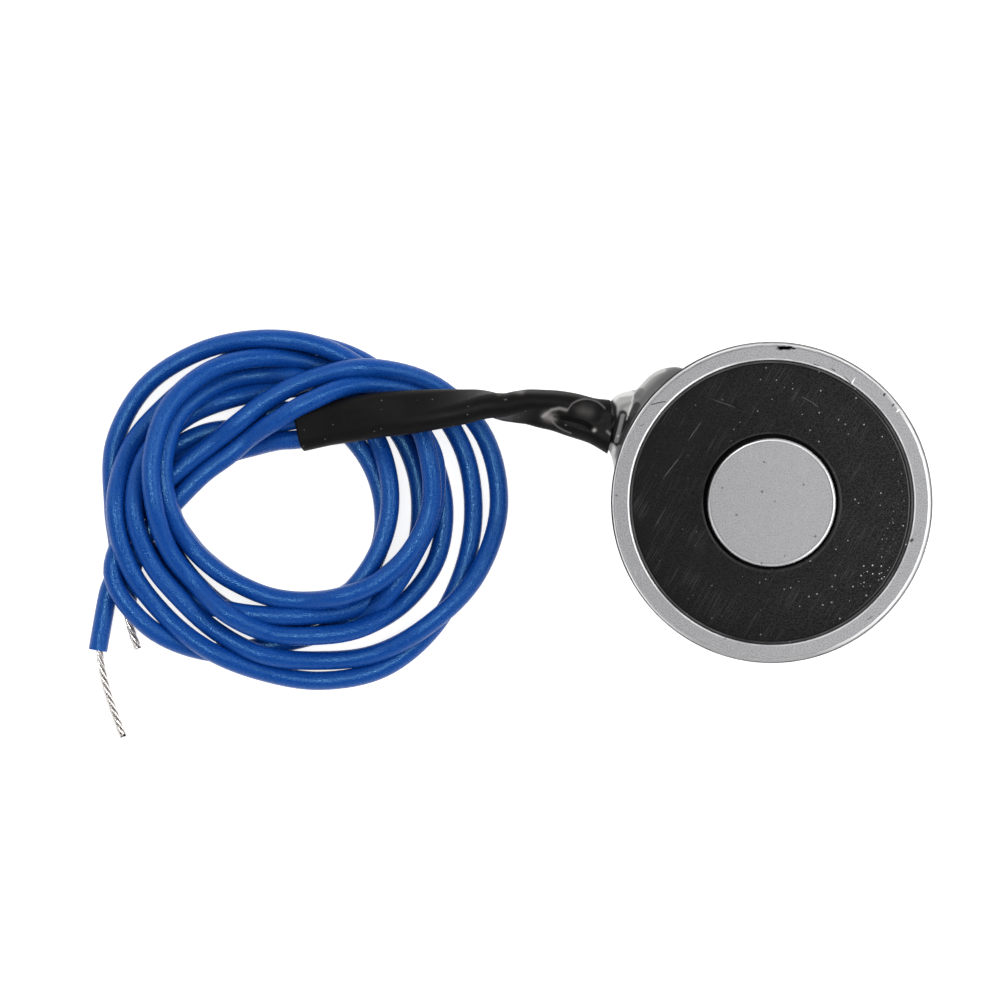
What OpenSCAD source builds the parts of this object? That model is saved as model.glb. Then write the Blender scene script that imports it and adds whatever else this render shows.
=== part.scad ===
// Holding electromagnet: a steel pot turned in one piece with its centre pole, a potted
// coil in the groove, and two leads that leave the side wall in a shrink sleeve.
// The spare length of the leads lies coiled beside the pot.
// Origin: centre of the back face. The working face looks up, along +Z.

/* [Pot] */
// Outside diameter of the pot
pot_d = 40; // [38:0.5:42]
// Height from the back face to the working face
pot_h = 20; // [19:0.5:24]
// Thickness of the outer wall
wall_t = 2.3; // [2:0.1:2.6]
// Diameter of the centre pole
pole_d = 16; // [14:0.5:17]
// Thickness of the back
back_t = 4.5; // [4:0.1:5]
// Chamfer on the outer edge of the working face
face_chamfer = 0.5; // [0.2:0.1:0.8]
// Chamfer on the outer edge of the back face
back_chamfer = 0.4; // [0.2:0.1:0.8]
// Edge break on the groove edges of the working face
edge_break = 0.12; // [0.05:0.01:0.3]

/* [Mounting thread] */
// Wall diameter of the tapped hole in the back, M5
thread_d = 4.2; // [3.3:0.1:5]
// Depth of the full thread
thread_depth = 9; // [7:0.5:11]
// Mouth diameter of the countersink
sink_d = 5.4; // [5.2:0.1:6]

/* [Coil] */
// Clearance between the pole and the bobbin
bobbin_gap = 0.2; // [0.1:0.05:0.4]
// Wall of the bobbin tube
bobbin_wall = 0.8; // [0.6:0.1:1]
// Thickness of the bobbin flanges
flange_t = 0.9; // [0.7:0.1:1.2]
// Height of the bobbin
bobbin_h = 12.5; // [11:0.5:13]
// Thickness of the insulating wrap
tape_t = 0.3; // [0.2:0.05:0.4]
// How far the flanges stand out past the wrap
flange_lip = 0.3; // [0.2:0.1:0.5]
// Diameter of the winding wire where it leaves the coil
wire_d = 0.5; // [0.3:0.1:0.6]

/* [Potting] */
// How far the resin lies below the working face
resin_drop = 0.15; // [0.05:0.05:0.4]
// Width of the gap round the pole, where the resin has shrunk away
pole_gap = 0.45; // [0.3:0.05:0.6]
// Width of the gap along the outer ring
ring_gap = 0.25; // [0.15:0.05:0.4]
// Depth of both gaps
gap_depth = 0.5; // [0.3:0.1:0.8]

/* [Leads] */
// Outside diameter of each lead
lead_d = 2.4; // [2.2:0.05:2.5]
// Diameter of the stripped strands
strand_d = 0.8; // [0.6:0.1:1]
// Direction in which the leads leave, seen from above
exit_angle = 155; // [150:1:160]
// Height of the exit hole above the back face
exit_z = 8.2; // [8:0.1:8.5]
// Diameter of the exit hole
exit_d = 6.2; // [6.1:0.1:6.4]
// Wall of the shrink sleeve
sleeve_t = 0.3; // [0.2:0.05:0.4]
// Room between a lead and its neighbour or the groove wall
lead_gap = 0.05; // [0.02:0.01:0.08]

/* [Lead coil] */
// Mean radius of the coiled leads
coil_r = 15.5; // [15:0.5:16]
// Radial width of the coiled leads
coil_w = 14.4; // [14:0.2:15]
// Height of the coiled leads
coil_h = 7; // [6:0.5:7.5]
// Length of the straight sides of the coil
coil_straight = 6.4; // [5:0.2:7]

/* [Hidden] */
$fn = 96;

pot_r = pot_d / 2;
pole_r = pole_d / 2;
groove_r = pot_r - wall_t;
resin_top = pot_h - resin_drop;

// The lead channel lies between the bobbin flanges and the pot wall
channel = lead_d + 0.6;
flange_r = groove_r - channel;
tape_r = flange_r - flange_lip;
winding_r = tape_r - tape_t;
tube_in_r = pole_r + bobbin_gap;
tube_r = tube_in_r + bobbin_wall;
winding_low = back_t + flange_t;
winding_high = back_t + bobbin_h - flange_t;
channel_r = groove_r - channel / 2;

// Soldered joints, measured round the channel from the exit hole
joint_d = 1.3;
joint_l = 5.5;
joint_wall = 0.35;
joint_gap = 0.25;
lead_end_turn = 38;
joint_turn = lead_end_turn + (joint_l / 2 + joint_gap) / channel_r * 180 / PI;
wire_turn = lead_end_turn + 28;
bend_r = 2.5;
bend_start_r = channel_r - 0.3;

lead_off = lead_d / 2 + lead_gap;
sleeve_u = lead_off + lead_d / 2 + 2 * lead_gap + sleeve_t;
sleeve_v = lead_d / 2 + 2 * lead_gap + sleeve_t;

coil_centre = [-60.4, -1.1];
notch_left = -63;

// Route of the sleeve from the pot to the coil: x, y, z, twist, flare
sleeve_route = [
    [-20.5, 9.5, exit_z, 0, 1.15],
    [-22.5, 10.25, exit_z, 0, 1.05],
    [-25, 11, exit_z, -10, 1],
    [-27, 11.5, exit_z, -24, 1],
    [-28.75, 11.75, exit_z, -38, 1],
    [-30.5, 12, exit_z, -52, 1],
    [-32, 12, 8.3, -66, 1],
    [-33.5, 12, 8.4, -80, 1],
    [-35.25, 12.25, 8.6, -94, 1],
    [-37, 12.25, 8.7, -108, 1],
    [-39, 12, 8.9, -122, 1],
    [-41.5, 11.75, 9, -136, 1],
    [-44, 11.5, 8.8, -150, 1],
    [-46.5, 11.25, 8.4, -164, 1],
    [-49.5, 11, 7.5, -175, 1],
    [-52.5, 10.5, 6.4, -180, 1],
    [-56, 10, 5, -180, 1],
    [-59.5, 9.25, 4, -180, 1]
];

// Where each lead goes on from the sleeve into the coil
stub_a = [[-61.5, 10.2, 3.4], [notch_left, 10.2, 3.4]];
stub_b = [[-61.5, 7.6, 3.4], [notch_left, 7.6, 3.4]];

// Free ends at the lower left of the coil
tail_a = [[-82.5, -7, 1.2], [-83.2, -10, 1.2], [-84, -14, 1.2], [-84.8, -18.5, 1.2]];
strand_route_a = [[-84.8, -18.5, 0.7], [-84.6, -22, 0.4], [-83.4, -26, 0.4], [-82, -29.5, 0.4]];
strand_route_b = [[-81.6, -13, 0.6], [-81.2, -15, 0.5], [-79.8, -18.5, 0.4]];

// Sweeps along a route

function unit(v) = v / norm(v);
function xyz(p) = [p[0], p[1], p[2]];
function heading(path, i) =
    unit(xyz(path[min(i + 1, len(path) - 1)]) - xyz(path[max(i - 1, 0)]));
function across(t) = unit(cross([0, 0, 1], t));

// Directions of the long and short axis of the sleeve's section at point i
function sleeve_long(i) = let (t = heading(sleeve_route, i), n = across(t), w = sleeve_route[i][3])
    n * cos(w) + cross(t, n) * sin(w);
function sleeve_short(i) = cross(heading(sleeve_route, i), sleeve_long(i));

function circle_ring(path, i, d, sides) = let (t = heading(path, i), n = across(t), b = cross(t, n))
    [for (k = [0:sides - 1]) xyz(path[i]) + d / 2 * (n * cos(k * 360 / sides) + b * sin(k * 360 / sides))];

// Section of the sleeve: two half circles joined by straight sides
function oval_ring(i, u, v) = let (f = sleeve_route[i][4], n = 12)
    [for (k = [0:n - 1]) let (a = (k + 0.5) * 360 / n)
        xyz(sleeve_route[i])
        + sleeve_long(i) * f * (v * cos(a) + (cos(a) > 0 ? u - v : v - u))
        + sleeve_short(i) * f * v * sin(a)];

module skin(rings) {
    n = len(rings[0]);
    m = len(rings);
    polyhedron(
        points = [for (r = rings) for (p = r) p],
        faces = concat(
            [[for (k = [0:n - 1]) k]],
            [[for (k = [n - 1:-1:0]) (m - 1) * n + k]],
            [for (i = [0:m - 2]) for (k = [0:n - 1]) [i * n + k, (i + 1) * n + k, i * n + (k + 1) % n]],
            [for (i = [0:m - 2]) for (k = [0:n - 1])
                [i * n + (k + 1) % n, (i + 1) * n + k, (i + 1) * n + (k + 1) % n]]
        )
    );
}

// A wall between outer and inner rings, open at both ends
module pipe(outer, inner) {
    n = len(outer[0]);
    m = len(outer);
    last = (m - 1) * n;
    polyhedron(
        points = concat([for (r = outer) for (p = r) p], [for (r = inner) for (p = r) p]),
        faces = concat(
            [for (i = [0:m - 2]) for (k = [0:n - 1]) [i * n + k, (i + 1) * n + k, i * n + (k + 1) % n]],
            [for (i = [0:m - 2]) for (k = [0:n - 1])
                [i * n + (k + 1) % n, (i + 1) * n + k, (i + 1) * n + (k + 1) % n]],
            [for (i = [0:m - 2]) for (k = [0:n - 1])
                [(m + i) * n + k, (m + i) * n + (k + 1) % n, (m + i + 1) * n + k]],
            [for (i = [0:m - 2]) for (k = [0:n - 1])
                [(m + i) * n + (k + 1) % n, (m + i + 1) * n + (k + 1) % n, (m + i + 1) * n + k]],
            [for (k = [0:n - 1]) [k, (k + 1) % n, m * n + k]],
            [for (k = [0:n - 1]) [(k + 1) % n, m * n + (k + 1) % n, m * n + k]],
            [for (k = [0:n - 1]) [last + k, last + m * n + k, last + (k + 1) % n]],
            [for (k = [0:n - 1]) [last + (k + 1) % n, last + m * n + k, last + m * n + (k + 1) % n]]
        )
    );
}

module tube(path, d, sides = 8) {
    skin([for (i = [0:len(path) - 1]) circle_ring(path, i, d, sides)]);
}

// A straight round rod from one point to another
module rod(from, to, d) {
    v = to - from;
    translate(from)
        rotate([0, acos(v[2] / norm(v)), atan2(v[1], v[0])])
            cylinder(d = d, h = norm(v), $fn = 32);
}

// Points in the pot, in the direction of the exit turned by an angle

function around(r, turn, z) = [r * cos(exit_angle + turn), r * sin(exit_angle + turn), z];
function exit_point(u, v) = [
    u * cos(exit_angle) - v * sin(exit_angle),
    u * sin(exit_angle) + v * cos(exit_angle),
    exit_z
];

// Lead from its joint round the channel, out of the exit hole and through the sleeve.
// The hand is 1 for lead a and -1 for lead b.
function inner_path(hand) = concat(
    [for (turn = [lead_end_turn, 35, 27, 19]) around(channel_r, hand * turn, exit_z)],
    [for (a = [15:30:75])
        exit_point(bend_start_r + bend_r * (1 - cos(a)), hand * (lead_off + bend_r * (1 - sin(a))))],
    [exit_point(pot_r, hand * lead_off)]
);
function sleeve_path(hand) = [for (i = [0:len(sleeve_route) - 1])
    xyz(sleeve_route[i]) + sleeve_long(i) * hand * lead_off];
function lead_path(hand) = concat(inner_path(hand), sleeve_path(hand), hand > 0 ? stub_a : stub_b);

// Joints

module at_joint(hand) {
    translate(around(channel_r, hand * joint_turn, exit_z))
        rotate([0, 0, exit_angle + hand * joint_turn])
            rotate([-90 * hand, 0, 0])
                translate([0, 0, -joint_l / 2])
                    children();
}

module joint_solid(hand) {
    at_joint(hand) cylinder(d = joint_d, h = joint_l, $fn = 32);
}

module cover_solid(hand) {
    at_joint(hand) cylinder(d = joint_d + 2 * joint_wall, h = joint_l, $fn = 32);
}

module wire_end(hand) {
    rod(around(winding_r - 0.4, hand * wire_turn, exit_z),
        around(channel_r, hand * (joint_turn + 6), exit_z), wire_d);
}

module joint(hand) {
    difference() {
        joint_solid(hand);
        wire_end(hand);
    }
}

module joint_cover(hand) {
    difference() {
        cover_solid(hand);
        joint_solid(hand);
        wire_end(hand);
    }
}

// Pot

module exit_bore(r_from, r_to) {
    translate([0, 0, exit_z])
        rotate([0, 0, exit_angle])
            rotate([0, 90, 0])
                translate([0, 0, r_from])
                    cylinder(d = exit_d, h = r_to - r_from);
}

module pot_body() {
    color("silver") difference() {
        rotate_extrude() polygon([
            [0, 0],
            [pot_r - back_chamfer, 0],
            [pot_r, back_chamfer],
            [pot_r, pot_h - face_chamfer],
            [pot_r - face_chamfer, pot_h],
            [groove_r + edge_break, pot_h],
            [groove_r, pot_h - edge_break],
            [groove_r, back_t],
            [pole_r, back_t],
            [pole_r, pot_h - edge_break],
            [pole_r - edge_break, pot_h],
            [0, pot_h]
        ]);
        translate([0, 0, -1]) cylinder(d = thread_d, h = thread_depth + 1);
        translate([0, 0, thread_depth]) cylinder(d1 = thread_d, d2 = 0, h = thread_d / 2 / tan(59));
        translate([0, 0, -0.01])
            cylinder(d1 = sink_d, d2 = thread_d, h = (sink_d - thread_d) / 2);
        exit_bore(groove_r - 1, pot_r + 1);
    }
}

// Coil pack

module bobbin() {
    color("ivory") rotate_extrude() polygon([
        [tube_in_r, back_t],
        [flange_r, back_t],
        [flange_r, winding_low],
        [tube_r, winding_low],
        [tube_r, winding_high],
        [flange_r, winding_high],
        [flange_r, back_t + bobbin_h],
        [tube_in_r, back_t + bobbin_h]
    ]);
}

module band(r_in, r_out, z_low, z_high) {
    rotate_extrude() translate([r_in, z_low]) square([r_out - r_in, z_high - z_low]);
}

module winding() {
    color("peru") {
        band(tube_r, winding_r, winding_low, winding_high);
        for (hand = [1, -1]) wire_end(hand);
    }
}

module winding_tape() {
    color("khaki") difference() {
        band(winding_r, tape_r, winding_low, winding_high);
        for (hand = [1, -1]) wire_end(hand);
    }
}

module joint_a() { color("gainsboro") joint(1); }
module joint_b() { color("gainsboro") joint(-1); }
module joint_cover_a() { color("dimgray") joint_cover(1); }
module joint_cover_b() { color("dimgray") joint_cover(-1); }

// Resin: the groove and the exit hole, less all that is cast into it
module potting() {
    color("black") difference() {
        union() {
            rotate_extrude() polygon([
                [pole_r, back_t],
                [groove_r, back_t],
                [groove_r, resin_top - gap_depth],
                [groove_r - ring_gap, resin_top],
                [pole_r + pole_gap, resin_top],
                [pole_r, resin_top - gap_depth]
            ]);
            intersection() {
                exit_bore(groove_r - 0.5, pot_r + 1);
                cylinder(r = pot_r, h = pot_h);
            }
        }
        band(tube_in_r, flange_r, back_t - 1, winding_low);
        band(tube_in_r, tape_r, winding_low, winding_high);
        band(tube_in_r, flange_r, winding_high, back_t + bobbin_h);
        for (hand = [1, -1]) {
            wire_end(hand);
            cover_solid(hand);
            tube(lead_path(hand), lead_d);
        }
    }
}

// Lead exit

function sleeve_rings(u, v) = [for (i = [0:len(sleeve_route) - 1]) oval_ring(i, u, v)];

// Clear adhesive run along the wall on both sides of the exit
module exit_seal() {
    beads = [[-26, 19.6, 1.3], [-14, 19.8, 2.2], [-2, 20.5, 2.7], [7, 20, 2.3], [15, 19.6, 1.1]];
    scale_r = pot_r / 20;
    color("gainsboro", 0.6) difference() {
        for (i = [0:len(beads) - 2])
            hull()
                for (b = [beads[i], beads[i + 1]])
                    translate(around(b[1] * scale_r, b[0], exit_z)) sphere(r = b[2], $fn = 24);
        translate([0, 0, -1]) cylinder(r = pot_r, h = pot_h + 2);
        skin(sleeve_rings(sleeve_u, sleeve_v));
        for (hand = [1, -1]) tube(lead_path(hand), lead_d);
    }
}

module lead_sleeve() {
    color([0.12, 0.11, 0.11])
        pipe(sleeve_rings(sleeve_u, sleeve_v), sleeve_rings(sleeve_u - sleeve_t, sleeve_v - sleeve_t));
}

module lead_a() { color("royalblue") tube(lead_path(1), lead_d); }
module lead_b() { color("royalblue") tube(lead_path(-1), lead_d); }

// Coiled length: two half rings and two straight sides of one rounded section

module coil_section() {
    round_off = 1.2;
    translate([coil_r - coil_w / 2, 0]) polygon([
        [round_off, 0],
        [coil_w - round_off, 0],
        [coil_w, round_off],
        [coil_w, coil_h - 2 * round_off],
        [coil_w - 2 * round_off, coil_h],
        [2 * round_off, coil_h],
        [0, coil_h - 2 * round_off],
        [0, round_off]
    ]);
}

module coil_ring() {
    translate([coil_centre[0], coil_centre[1], 0]) {
        for (side = [0, 180])
            rotate([0, 0, side]) {
                translate([coil_straight / 2, 0, 0])
                    rotate([0, 0, -90]) rotate_extrude(angle = 180) coil_section();
                translate([-coil_straight / 2, 0, 0])
                    rotate([90, 0, 90]) linear_extrude(coil_straight) coil_section();
            }
    }
}

// Room under the sleeve, where it sinks into the coil
module sleeve_notch() {
    translate([0, 14, 0]) rotate([90, 0, 0]) linear_extrude(9) polygon([
        [notch_left, 1.9],
        [-58, 1.9],
        [-52, 4.4],
        [-46, 6],
        [-30, 6],
        [-30, 20],
        [notch_left, 20]
    ]);
}

module lead_coil() {
    color("royalblue") difference() {
        coil_ring();
        sleeve_notch();
    }
}

module lead_a_tail() {
    color("royalblue") difference() {
        tube(tail_a, lead_d);
        coil_ring();
    }
}

module strands_a() {
    color("silver") difference() {
        tube(strand_route_a, strand_d);
        tube(tail_a, lead_d);
    }
}

module strands_b() {
    color("silver") difference() {
        tube(strand_route_b, strand_d);
        coil_ring();
    }
}

pot_body();
bobbin();
winding();
winding_tape();
joint_a();
joint_b();
joint_cover_a();
joint_cover_b();
potting();
exit_seal();
lead_sleeve();
lead_a();
lead_b();
lead_coil();
lead_a_tail();
strands_a();
strands_b();
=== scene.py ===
"""Looks of a holding electromagnet: steel pot, cast resin, shrink sleeve and two coiled leads."""

import math

import bpy
from bpy.props import FloatProperty, FloatVectorProperty, IntProperty, PointerProperty
from mathutils import Matrix, Vector


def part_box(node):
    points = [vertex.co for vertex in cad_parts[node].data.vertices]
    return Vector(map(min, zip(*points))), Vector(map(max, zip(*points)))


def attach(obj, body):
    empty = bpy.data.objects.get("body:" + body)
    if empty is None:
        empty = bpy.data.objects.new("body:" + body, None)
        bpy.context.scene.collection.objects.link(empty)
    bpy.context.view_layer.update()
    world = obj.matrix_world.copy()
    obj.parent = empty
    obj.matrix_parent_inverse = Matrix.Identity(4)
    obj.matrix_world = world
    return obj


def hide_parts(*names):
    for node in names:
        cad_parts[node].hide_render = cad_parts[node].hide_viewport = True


bl_info = {
    "name": "Holding Electromagnet",
    "version": (1, 0, 0),
    "blender": (4, 5, 0),
    "location": "View3D > Sidebar > Magnet",
    "description": "Builds the visible pieces and finishes of a holding electromagnet",
    "category": "Object",
}

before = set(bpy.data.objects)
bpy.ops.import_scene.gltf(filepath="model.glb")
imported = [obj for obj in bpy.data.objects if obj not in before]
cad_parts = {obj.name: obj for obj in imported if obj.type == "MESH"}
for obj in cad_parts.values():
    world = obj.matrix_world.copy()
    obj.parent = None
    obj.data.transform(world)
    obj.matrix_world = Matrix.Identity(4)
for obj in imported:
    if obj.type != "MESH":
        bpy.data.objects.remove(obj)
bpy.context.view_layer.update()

MM = 0.001
POT_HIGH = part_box("pot_body")[1]
POT_R = POT_HIGH.x
POT_H = POT_HIGH.z
# Depth below the working face that still counts as face, with its chamfer
FACE_BAND = 0.6 * MM
# Hole in the wall where the leads leave, and the distances in millimetres at which they start
EXIT_DEGREES = 155
EXIT_ANGLE = math.radians(EXIT_DEGREES)
EXIT_Z = 8.2 * MM
EXIT_HOLE_R = 3.1 * MM
LEAD_STARTS = (18.2, 20.2)
# Half the gap between the two leads where they lie side by side
HALF_GAP = 0.05 * MM
# Points drawn between two hand-set points of a lead
LEAD_STEPS = 8
# Tapped bore in the back
BORE_R = 2.1 * MM
BORE_DEPTH = 9 * MM
BORE_TIP = 10.2 * MM
BORE_CHAMFER = 0.6 * MM

# Route of the sleeve from the pot to the coil in millimetres:
# x, y, z, twist in degrees, scale of the section
SLEEVE_ROUTE = (
    (-20.5, 9.5, 8.2, 0, 1.13),
    (-22.5, 10.25, 8.2, 0, 0.99),
    (-25, 11, 8.2, -10, 0.97),
    (-27, 11.5, 8.2, -24, 0.94),
    (-28.75, 11.75, 8.2, -38, 0.94),
    (-30.5, 12, 8.2, -52, 0.94),
    (-32, 12, 8.3, -66, 0.96),
    (-33.5, 12, 8.4, -80, 0.98),
    (-35.25, 12.25, 8.6, -94, 1),
    (-37, 12.25, 8.7, -108, 1),
    (-39, 12, 8.9, -122, 1),
    (-41.5, 11.75, 9, -136, 1),
    (-44, 11.5, 8.8, -150, 1),
    (-46.5, 11.25, 8.4, -164, 1),
    (-49.5, 11, 7.5, -175, 1),
    (-52.5, 10.5, 6.4, -180, 1),
    (-56, 10, 5, -180, 1),
    (-59.5, 9.25, 4, -180, 1),
)

# The coiled leads, read round one centre in millimetres. Each turn has a station every
# 20 degrees from 100 degrees on, as distances from the centre and heights.
COIL_CENTRE = Vector((-60.8, -0.7, 0))
FIRST_STATION = 100
STATION_STEP = 20

LEAD_A_TURNS = (
    (
        (10.9, 11.7, 14.6, 17.8, 19.9, 18.6, 17.4, 15.0, 13.8,
         13.8, 14.9, 15.7, 16.5, 16.4, 16.5, 16.6, 16.2, 15.4),
        (3.2, 2.0, 1.2, 1.2, 1.2, 1.2, 1.5, 3.4, 3.4,
         3.4, 2.5, 1.4, 1.2, 1.2, 1.2, 1.2, 1.2, 1.2),
    ),
    (
        (15.0, 15.8, 17.6, 19.4, 19.6, 18.9, 18.0, 18.2, 18.9,
         19.6, 21.3, 22.9, 25.0, 26.3, 26.1, 24.0, 20.4, 16.6),
        (1.2, 2.0, 1.2, 3.3, 5.6, 4.6, 3.6, 3.0, 3.2,
         1.6, 2.0, 3.6, 2.9, 1.2, 1.2, 2.6, 5.8, 5.0),
    ),
    (
        (14.0, 12.6, 12.7, 14.6, 18.9, 23.9, 23.4, 21.0, 17.7,
         16.4, 16.5, 16.5, 16.7, 18.1, 19.3, 18.9, 18.6, 18.4),
        (4.6, 4.6, 3.6, 3.4, 3.5, 3.5, 3.0, 1.3, 1.2,
         1.2, 1.2, 3.4, 3.5, 3.3, 3.6, 3.4, 1.4, 1.4),
    ),
    (
        (19.3, 20.1, 19.9, 18.4, 16.9, 16.1, 15.3, 15.5, 16.0,
         16.4, 17.6, 18.7, 19.5, 19.4, 19.0, 18.9, 19.7, 20.8),
        (3.4, 4.2, 5.8, 6.9, 6.9, 4.8, 3.6, 5.6, 3.4,
         3.6, 3.4, 1.8, 1.2, 1.2, 1.2, 1.2, 3.6, 3.6),
    ),
)
# Free end: angle, distance, height
LEAD_A_END = (
    (100, 21.7, 3.0), (120, 22.9, 1.6), (140, 24.0, 1.2), (160, 23.8, 1.2),
    (180, 22.5, 1.2), (193, 22.5, 1.2), (201, 24.0, 1.2), (205.7, 25.8, 1.2), (216.4, 30.4, 1.2),
)

LEAD_B_TURNS = (
    (
        (8.6, 9.0, 10.5, 13.0, 15.1, 13.5, 12.2, 11.6, 11.6,
         12.0, 12.9, 12.7, 12.2, 11.7, 11.5, 11.6, 12.0, 12.2),
        (3.0, 1.6, 1.2, 1.2, 1.2, 1.2, 1.2, 1.2, 1.2,
         1.2, 1.2, 1.2, 1.2, 1.2, 1.2, 1.2, 1.2, 1.2),
    ),
    (
        (12.4, 12.4, 12.8, 15.4, 17.5, 16.0, 15.3, 15.1, 14.1,
         14.0, 13.2, 12.6, 12.4, 12.6, 13.1, 14.0, 15.2, 16.2),
        (1.2, 1.2, 1.2, 1.2, 1.2, 1.2, 1.2, 1.2, 1.2,
         1.2, 3.3, 3.6, 3.5, 3.4, 3.0, 2.0, 3.6, 3.6),
    ),
    (
        (17.1, 18.0, 18.3, 16.9, 15.1, 13.5, 12.2, 11.5, 11.5,
         11.9, 12.9, 14.5, 16.2, 17.8, 18.7, 19.8, 20.6, 20.8),
        (1.4, 1.8, 4.0, 5.2, 5.2, 3.7, 3.6, 3.6, 3.6,
         3.7, 5.6, 5.2, 5.6, 5.2, 5.8, 4.4, 1.6, 1.2),
    ),
    (
        (20.5, 20.1, 20.5, 21.7, 22.0, 21.6, 20.9, 20.7, 21.0,
         22.2, 23.4, 23.5, 23.2, 23.1, 23.0, 21.9, 18.0, 13.5),
        (1.2, 1.2, 1.4, 2.6, 5.2, 4.4, 3.0, 3.6, 2.0,
         1.2, 1.2, 1.2, 1.2, 1.2, 1.2, 2.6, 5.6, 6.5),
    ),
)
LEAD_B_END = (
    (100, 11.0, 5.6), (120, 10.2, 3.9), (140, 10.2, 3.6), (160, 11.9, 3.4), (180, 15.2, 3.5),
    (187, 17.4, 3.5), (195, 19.9, 3.2), (200, 21.2, 2.4), (207, 23.1, 1.4), (210.8, 24.2, 1.2),
)

# Stripped ends, from inside the insulation to the tip, in millimetres
STRANDS_A_ROUTE = (
    (-84.8, -17.4, 1.2), (-85, -18.8, 1.1), (-84.8, -21, 0.6), (-84.1, -24, 0.5),
    (-83.1, -27, 0.5), (-82.1, -29.7, 0.5),
)
STRANDS_B_ROUTE = (
    (-81.7, -12, 1.2), (-81.7, -13.2, 1.1), (-81.3, -15.2, 0.7), (-80.8, -17, 0.5), (-80.2, -18.5, 0.5),
)
# Folds of the sleeve at the pot, drawn from above: rise, half width, line of x and y, all in
# millimetres
SLEEVE_FOLDS = (
    (0.34, 1.0, ((-24.2, 11.3), (-22.5, 11.3))),
    (0.22, 0.8, ((-26.1, 9.8), (-23, 8.8))),
    (-0.34, 0.17, ((-27.3, 10.8), (-25.3, 10.5), (-23.4, 10), (-22.4, 9.2))),
    (0.16, 0.13, ((-28.9, 10.8), (-27.6, 11.6), (-26.4, 11.8), (-25.6, 11.6), (-25, 12.4),
                  (-23.8, 12.9), (-22.6, 12.9), (-21.8, 12.6), (-20.9, 11.9))),
    (0.14, 0.13, ((-28.7, 10.6), (-27.6, 10.1), (-26.9, 9.5), (-26, 9), (-25.2, 8.7))),
)
# Worn and stretched places of the sleeve, with painted highlights and sheen where its folds and top
# edge catch the light and a painted glint by its mouth: amount, half width, line
SLEEVE_WEAR_AND_SHEEN = (
    (0.3, 0.09, ((-25.6, 11.6), (-25, 12.4), (-24.5, 12.7), (-23.8, 12.95), (-23.2, 13), (-22.6, 12.9),
                 (-21.8, 12.6), (-21.3, 12.2), (-20.9, 11.8))),
    (0.5, 0.2, ((-28.7, 10.8), (-27.6, 11.6), (-26.6, 11.8), (-25.8, 11.6))),
    (0.5, 0.55, ((-28.2, 10.8), (-27.6, 10.6))),
    (0.28, 0.1, ((-27.5, 10.1), (-26.9, 9.5), (-26, 9), (-25.2, 8.7))),
    (1.2, 0.2, ((-22.3, 9.05), (-22.2, 9.1))),
    (0.5, 0.16, ((-20.6, 8.9), (-20.3, 8.6))),
    (0.12, 0.8, ((-23.6, 11.5), (-23, 11.3))),
    (0.4, 0.35, ((-34.2, 13.9), (-32.6, 14.1), (-31.4, 14))),
    (0.1, 0.3, ((-31.4, 14), (-28, 13.9), (-25, 13.7), (-23.5, 13.4))),
    (0.3, 0.09, ((-33.4, 12.9), (-33.3, 12.9))),
    (0.3, 0.08, ((-25.9, 9.7), (-25.8, 9.7))),
)
# Painted light and shade on the adhesive: shadows in and round the sleeve's mouth, highlights on its
# edges, and pale and dark where the floor and the wall show through: shade, half width, line
ADHESIVE_SHADES = (
    (0.6, 0.9, ((-19, 12.1), (-18.4, 12.6), (-18.3, 11.8))),
    (1.1, 0.55, ((-18.7, 13.8), (-17.6, 14))),
    (0.7, 0.5, ((-17.1, 14.2), (-16.2, 15.1), (-15.4, 16), (-14.5, 16.5), (-13.7, 16.8))),
    (0.22, 0.5, ((-17, 13), (-16.4, 13.9))),
    (0.03, 0.45, ((-16.9, 12.2), (-17.3, 11.4), (-17.9, 10.2), (-18.5, 8.6), (-18.9, 7.6))),
    (0.9, 0.13, ((-17.4, 13.4), (-17.5, 12.6), (-17.9, 11.4), (-18.2, 10.4))),
    (0.0, 0.75, ((-20.5, 12.4), (-20.1, 11.8), (-20, 10), (-20.2, 8.2))),
    (0.0, 0.62, ((-19.6, 7.6), (-19.2, 9), (-18.7, 11))),
    (0.24, 0.28, ((-19.45, 7.7), (-19.1, 9), (-18.65, 10.9))),
    (0.8, 0.12, ((-19.25, 8.3), (-19.2, 8.35))),
    (1.0, 0.9, ((-20.4, 6.6), (-20.6, 5.8), (-20.3, 4.6), (-20.1, 3.6))),
)
# Painted highlights and painted shadows in uneven rings along the edges of the working face's steel:
# radius, half width in millimetres, grey, least and most strength, and the direction in degrees of the
# only side that has it, or None for all round
STEEL_EDGE_HIGHLIGHTS_AND_SHADOWS = (
    (19.75, 0.3, 0.36, 0.3, 0.9, None), (19.6, 0.17, 1.0, 0.6, 1.0, -15),
    (19.7, 0.08, 1.0, 0.3, 1.0, 80), (19.76, 0.08, 1.0, 0.4, 1.0, 185),
    (19.97, 0.12, 0.02, 0.4, 1.0, None), (19.93, 0.14, 0.01, 0.6, 1.0, 160),
    (19.43, 0.06, 0.06, 0.3, 0.9, 100), (19.43, 0.05, 0.1, 0.0, 0.7, -100),
    (17.84, 0.13, 0.95, 0.6, 1.0, 160), (17.84, 0.09, 0.8, 0.0, 0.8, None),
    (17.98, 0.05, 0.16, 0.0, 0.8, 170), (7.77, 0.1, 1.0, 0.4, 1.0, -15),
    (7.72, 0.09, 1.0, 0.3, 1.0, 90), (7.8, 0.08, 0.8, 0.0, 0.6, None),
    (7.58, 0.06, 0.1, 0.0, 0.7, None), (7.95, 0.14, 0.0, 0.8, 1.0, 140),
)
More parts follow.
